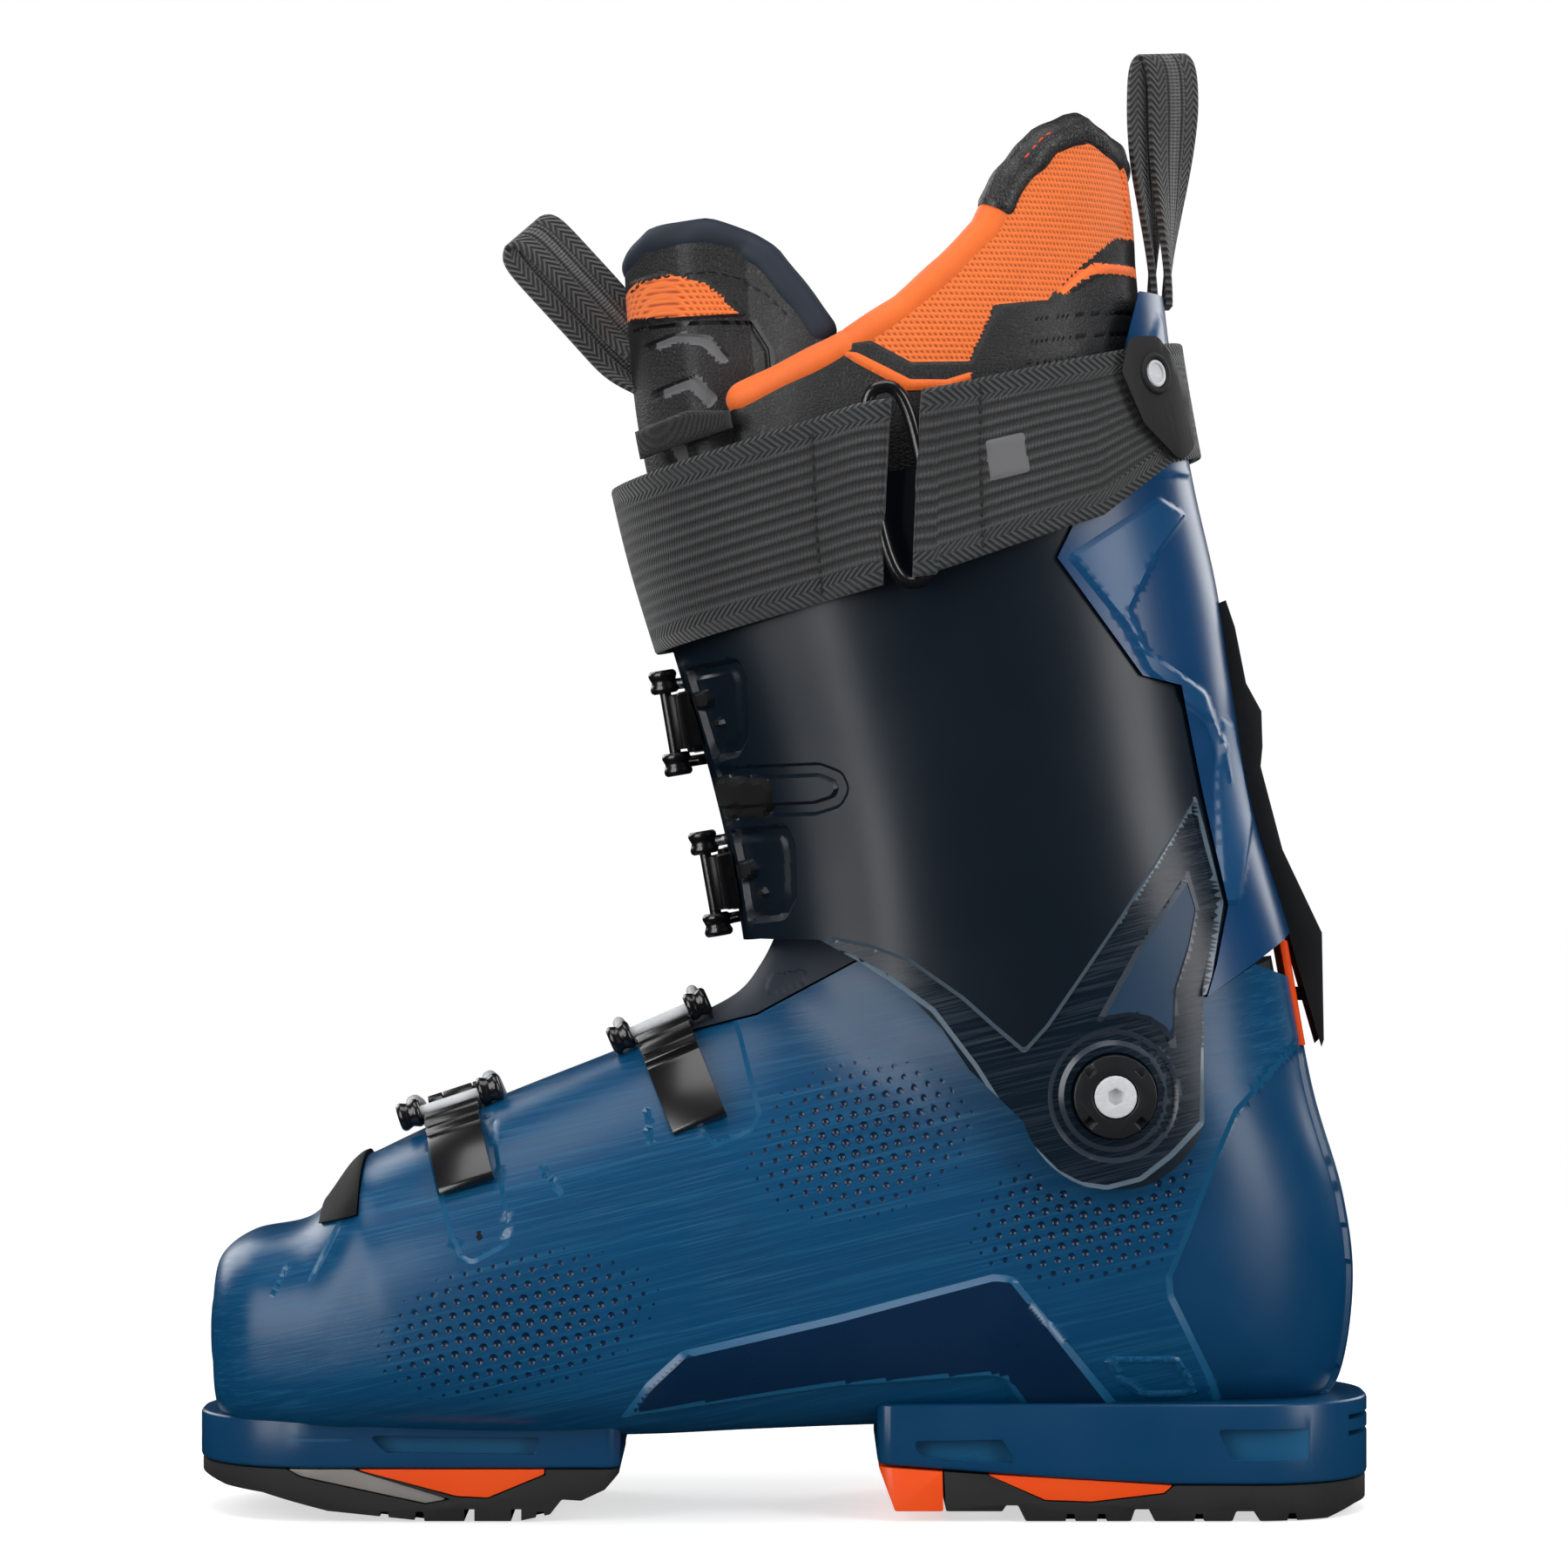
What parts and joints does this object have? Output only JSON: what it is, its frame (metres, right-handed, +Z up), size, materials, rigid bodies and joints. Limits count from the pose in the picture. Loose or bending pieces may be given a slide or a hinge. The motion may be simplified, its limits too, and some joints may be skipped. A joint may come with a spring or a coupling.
{
  "type": "alpine ski boot",
  "caption": "Right alpine ski boot with a hard lower shell, a hinged cuff, buckles with levers and wire bails, a power strap, a padded liner and screwed-on walking soles.",
  "frame": {"origin": "the middle of the heel's flat rest face, on the ground and on the sole's centre line", "axes": "+Z up, -X towards the toe, -Y towards the inner (medial) side of this right boot"},
  "size_m": [0.305, 0.1207, 0.3835],
  "materials": {
    "shell_blue": "satin",
    "black_rubber": "matte",
    "soft_navy": "matte",
    "orange_plastic": "satin",
    "glide_plate": "satin",
    "steel": "polished",
    "board_plastic": "matte",
    "liner_fabric": "matte",
    "cuff_navy": "satin",
    "spine_blue": "satin",
    "black_plastic": "satin",
    "black_screw": "satin",
    "webbing": "matte",
    "black_aluminium": "satin"
  },
  "bodies": {
    "shell": {"lower_shell": "shell_blue", "toe_seal": "black_rubber", "instep_insert": "soft_navy", "toe_sole": "black_rubber", "toe_sole_insert": "orange_plastic", "toe_glide_plate": "glide_plate", "heel_sole": "black_rubber", "heel_sole_block": "orange_plastic", "heel_sole_wedge": "orange_plastic", "toe_sole_screw_1": "steel", "toe_sole_screw_2": "steel", "toe_sole_screw_3": "steel", "toe_sole_screw_4": "steel", "heel_sole_screw_1": "steel", "heel_sole_screw_2": "steel", "heel_sole_screw_3": "steel", "heel_sole_screw_4": "steel", "boot_board": "board_plastic", "liner_foot": "liner_fabric", "insole": "liner_fabric", "link_screw_lower": "black_screw", "pivot_bush_medial": "black_plastic", "pivot_screw_medial": "steel", "pivot_bush_lateral": "black_plastic", "pivot_screw_lateral": "steel", "toe_buckle_rack": "black_aluminium", "toe_buckle_base": "black_aluminium", "toe_buckle_pin": "steel", "instep_buckle_rack": "black_aluminium", "instep_buckle_base": "black_aluminium", "instep_buckle_pin": "steel"},
    "cuff": {"cuff": "cuff_navy", "cuff_spine": "spine_blue", "rear_link": "black_plastic", "link_screw_upper": "black_screw", "liner_cuff": "liner_fabric", "tongue": "liner_fabric", "rear_pull_loop": "webbing", "front_pull_loop": "webbing", "power_strap": "webbing", "strap_tab": "black_plastic", "strap_tab_rivet": "steel", "strap_ring": "steel", "lower_cuff_buckle_rack": "black_aluminium", "lower_cuff_buckle_base": "black_aluminium", "lower_cuff_buckle_pin": "steel", "upper_cuff_buckle_rack": "black_aluminium", "upper_cuff_buckle_base": "black_aluminium", "upper_cuff_buckle_pin": "steel"},
    "lower_cuff_buckle_lever": {"lower_cuff_buckle_lever": "black_aluminium"},
    "lower_cuff_buckle_bail": {"lower_cuff_buckle_bail": "steel"},
    "upper_cuff_buckle_lever": {"upper_cuff_buckle_lever": "black_aluminium"},
    "upper_cuff_buckle_bail": {"upper_cuff_buckle_bail": "steel"},
    "toe_buckle_lever": {"toe_buckle_lever": "black_aluminium"},
    "toe_buckle_bail": {"toe_buckle_bail": "steel"},
    "instep_buckle_lever": {"instep_buckle_lever": "black_aluminium"},
    "instep_buckle_bail": {"instep_buckle_bail": "steel"}
  },
  "joints": [
    {"name": "cuff_flex", "type": "hinge", "parent": "shell", "child": "cuff", "pos_m": [-0.018, 0, 0.1097], "axis": [0, -1, 0], "range_deg": [0, 4], "stiffness_Nm_per_rad": 60, "springref_deg": -0.69, "deforming": ["rear_link"]},
    {"name": "toe_buckle_open", "type": "hinge", "parent": "shell", "child": "toe_buckle_lever", "pos_m": [-0.18862, 0.02929, 0.10438], "axis": [0.9514, 0, 0.3081], "range_deg": [0, 100]},
    {"name": "toe_buckle_swing", "type": "hinge", "parent": "toe_buckle_lever", "child": "toe_buckle_bail", "pos_m": [-0.18625, 0.04094, 0.09706], "axis": [0.9514, 0, 0.3081], "range_deg": [-115, 0]},
    {"name": "instep_buckle_open", "type": "hinge", "parent": "shell", "child": "instep_buckle_lever", "pos_m": [-0.13202, 0.02949, 0.12152], "axis": [0.9165, 0, 0.4], "range_deg": [0, 34]},
    {"name": "instep_buckle_swing", "type": "hinge", "parent": "instep_buckle_lever", "child": "instep_buckle_bail", "pos_m": [-0.12791, 0.03861, 0.1121], "axis": [0.9165, 0, 0.4], "range_deg": [-34, 0]},
    {"name": "lower_cuff_buckle_open", "type": "hinge", "parent": "cuff", "child": "lower_cuff_buckle_lever", "pos_m": [-0.11518, 0.02963, 0.16399], "axis": [-0.1722, 0, 0.9851], "range_deg": [0, 100]},
    {"name": "lower_cuff_buckle_swing", "type": "hinge", "parent": "lower_cuff_buckle_lever", "child": "lower_cuff_buckle_bail", "pos_m": [-0.10609, 0.04013, 0.16558], "axis": [-0.1722, 0, 0.9851], "range_deg": [-115, 0]},
    {"name": "upper_cuff_buckle_open", "type": "hinge", "parent": "cuff", "child": "upper_cuff_buckle_lever", "pos_m": [-0.1256, 0.02967, 0.20601], "axis": [-0.1659, 0, 0.9861], "range_deg": [0, 100]},
    {"name": "upper_cuff_buckle_swing", "type": "hinge", "parent": "upper_cuff_buckle_lever", "child": "upper_cuff_buckle_bail", "pos_m": [-0.11644, 0.04013, 0.20755], "axis": [-0.1659, 0, 0.9861], "range_deg": [-115, 0]}
  ],
  "couplings": [
    {"joint": "toe_buckle_swing", "follows": "toe_buckle_open", "ratio": -1.15},
    {"joint": "instep_buckle_swing", "follows": "instep_buckle_open", "ratio": -1},
    {"joint": "lower_cuff_buckle_swing", "follows": "lower_cuff_buckle_open", "ratio": -1.15},
    {"joint": "upper_cuff_buckle_swing", "follows": "upper_cuff_buckle_open", "ratio": -1.15}
  ]
}
